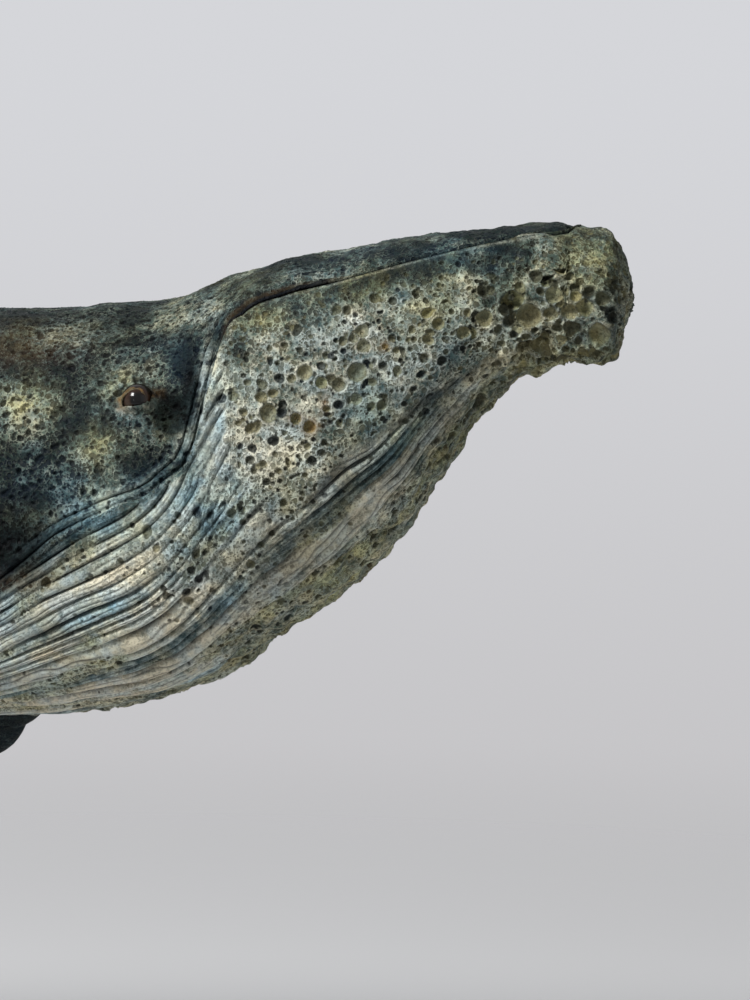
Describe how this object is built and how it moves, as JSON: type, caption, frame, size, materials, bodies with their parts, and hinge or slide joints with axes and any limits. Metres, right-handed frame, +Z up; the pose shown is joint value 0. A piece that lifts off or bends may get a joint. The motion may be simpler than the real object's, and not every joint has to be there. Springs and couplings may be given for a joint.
{
  "type": "whale figurine",
  "caption": "Painted cast humpback whale with pitted jaw and pleated throat, raised on a rod stand; the figure turns on the rod and lifts off it.",
  "frame": {"origin": "centre of the felt on the underside of the stand, on the rod's axis", "axes": "+X towards the whale's snout, +Z up, +Y towards its left side"},
  "size_m": [0.3122, 0.1844, 0.1486],
  "materials": {
    "dark_skin": "matte dark green-grey paint with ochre wash",
    "pale_skin": "matte cream and blue-grey paint, dark wash in the pits and grooves",
    "eye_glass": "polished brown bead",
    "core_paper": "pressed paper pulp",
    "spine_metal": "drawn bar",
    "pin_steel": "drawn wire",
    "dowel_wood": "plain",
    "bush_brass": "turned, slightly aged",
    "rod_steel": "brushed",
    "base_wood": "dark stained and oiled",
    "felt": "pressed felt"
  },
  "bodies": {
    "stand": {"base_disc": "base_wood", "base_felt": "felt", "base_ferrule": "bush_brass", "support_rod": "rod_steel"},
    "collar": {"rod_collar": "bush_brass"},
    "figure": {"body_casting": "dark_skin", "throat_casting": "pale_skin", "flipper_left": "dark_skin", "flipper_right": "dark_skin", "dorsal_fin": "dark_skin", "tail_flukes": "dark_skin", "eye_left": "eye_glass", "eye_right": "eye_glass", "paper_core": "core_paper", "spine_rod": "spine_metal", "flipper_pins": "pin_steel", "dorsal_pin": "pin_steel", "fluke_pin": "pin_steel", "jaw_dowels": "dowel_wood", "rod_bush": "bush_brass"}
  },
  "joints": [
    {"name": "figure_turn", "type": "hinge", "parent": "stand", "child": "collar", "pos_m": [0, 0, 0], "axis": [0, 0, 1], "continuous": true},
    {"name": "figure_lift", "type": "slide", "parent": "collar", "child": "figure", "axis": [0, 0, 1], "range_m": [0, 0.03]}
  ]
}
